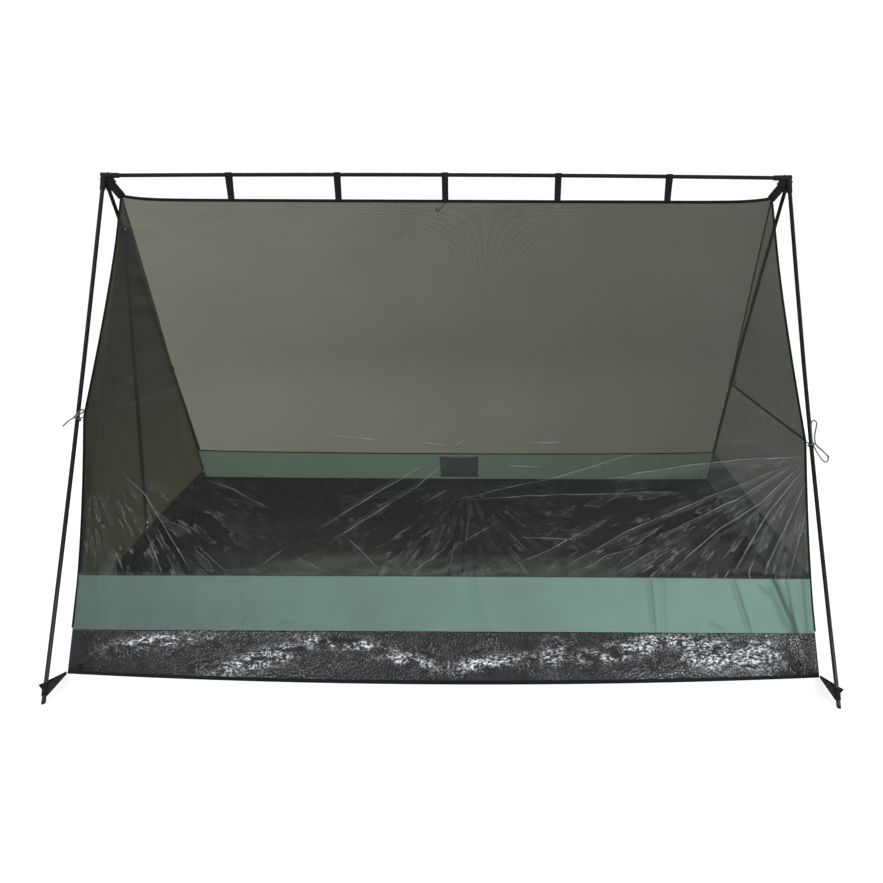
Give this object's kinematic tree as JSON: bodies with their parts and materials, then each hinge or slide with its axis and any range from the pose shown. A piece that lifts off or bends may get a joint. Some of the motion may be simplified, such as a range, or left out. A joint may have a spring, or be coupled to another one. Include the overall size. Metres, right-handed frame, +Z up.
{
  "type": "ridge tent",
  "caption": "Free-standing mesh inner tent with a tub floor, hung under a ridge pole between splayed A-frame legs, with a zipped door in one end.",
  "frame": {"origin": "on the ground under the middle of the ridge, on the underside of the floor", "axes": "+X along the ridge, away from the door end; +Y to the rear long side; +Z up"},
  "size_m": [2.2927, 1.4464, 1.4069],
  "materials": {
    "black_pole": "black satin coating on round tube",
    "black_moulding": "matt black moulded plastic",
    "black_webbing": "woven black webbing and binding tape",
    "shock_cord": "braided cover over rubber strands",
    "net": "fine dark green-grey insect net",
    "green_fabric": "plain grey-green coated fabric",
    "black_sheeting": "glossy black coated woven sheeting",
    "pocket_fabric": "plain dark fabric",
    "zip_tape": "dark zip tape with its coil",
    "zip_metal": "bare metal",
    "tie_cord": "grey-green braided cord"
  },
  "bodies": {
    "root": {"ridge_pole_1": "black_pole", "ridge_pole_2": "black_pole", "ridge_pole_3": "black_pole", "ridge_pole_4": "black_pole", "leg_front_left_upper": "black_pole", "leg_front_left_lower": "black_pole", "leg_front_right_upper": "black_pole", "leg_front_right_lower": "black_pole", "leg_rear_left_upper": "black_pole", "leg_rear_left_lower": "black_pole", "leg_rear_right_upper": "black_pole", "leg_rear_right_lower": "black_pole", "leg_plug_front_left": "black_moulding", "leg_plug_front_right": "black_moulding", "leg_plug_rear_left": "black_moulding", "leg_plug_rear_right": "black_moulding", "ridge_shock_cord": "shock_cord", "leg_shock_cord_front_left": "shock_cord", "leg_shock_cord_front_right": "shock_cord", "leg_shock_cord_rear_left": "shock_cord", "leg_shock_cord_rear_right": "shock_cord", "apex_connector_left": "black_moulding", "apex_connector_right": "black_moulding", "floor_tub": "black_sheeting", "mesh_front": "net", "mesh_rear": "net", "mesh_right_end": "net", "mesh_door_surround": "net", "band_front": "green_fabric", "band_rear": "green_fabric", "band_right_end": "green_fabric", "rear_pocket": "pocket_fabric", "hip_binding_left": "black_webbing", "hip_binding_right": "black_webbing", "ridge_tape": "black_webbing", "ridge_strap_1": "black_webbing", "ridge_strap_2": "black_webbing", "ridge_strap_3": "black_webbing", "ridge_strap_4": "black_webbing", "ridge_strap_5": "black_webbing", "apex_strap_left": "black_webbing", "apex_strap_right": "black_webbing", "corner_tab_front_left": "black_webbing", "corner_tab_front_right": "black_webbing", "corner_tab_rear_left": "black_webbing", "corner_tab_rear_right": "black_webbing", "tie_wrap_rear_right": "black_webbing", "guy_tape_right_end": "black_webbing", "tie_cord_front_left": "tie_cord", "tie_cord_front_right": "tie_cord", "tie_cord_rear_left": "tie_cord", "tie_cord_rear_right": "tie_cord"},
    "door_flap_front": {"door_flap_front": "net", "zip_tape_front": "zip_tape"},
    "door_flap_rear": {"door_flap_rear": "net", "zip_tape_rear": "zip_tape"},
    "zip_slider": {"zip_slider": "zip_metal"},
    "zip_pull_outside": {"zip_pull_outside": "zip_metal"},
    "zip_pull_inside": {"zip_pull_inside": "zip_metal"},
    "ridge_hook": {"ridge_hook": "black_moulding"}
  },
  "joints": [
    {"name": "door_flap_front_hinge", "type": "hinge", "parent": "root", "child": "door_flap_front", "pos_m": [-1.0715, -0.2901, 0.66495], "axis": [-0.088, -0.4121, -0.9069], "range_deg": [0, 75]},
    {"name": "door_flap_rear_hinge", "type": "hinge", "parent": "root", "child": "door_flap_rear", "pos_m": [-1.057, 0.2901, 0.66495], "axis": [0.0683, -0.4128, 0.9083], "range_deg": [0, 75]},
    {"name": "zip_slide", "type": "slide", "parent": "door_flap_front", "child": "zip_slider", "axis": [0.0965, 0, 0.9953], "range_m": [-0.008, 1.045]},
    {"name": "zip_pull_outside_hinge", "type": "hinge", "parent": "zip_slider", "child": "zip_pull_outside", "pos_m": [-1.12337, 0, 0.18201], "axis": [0, 1, 0], "range_deg": [0, 165]},
    {"name": "zip_pull_inside_hinge", "type": "hinge", "parent": "zip_slider", "child": "zip_pull_inside", "pos_m": [-1.11342, 0, 0.18104], "axis": [0, -1, 0], "range_deg": [-5, 165]},
    {"name": "ridge_hook_swing", "type": "hinge", "parent": "root", "child": "ridge_hook", "pos_m": [-0.001, -0.007, 1.32092], "axis": [0, -0.91, 0.4147], "range_deg": [-32, 108]}
  ]
}
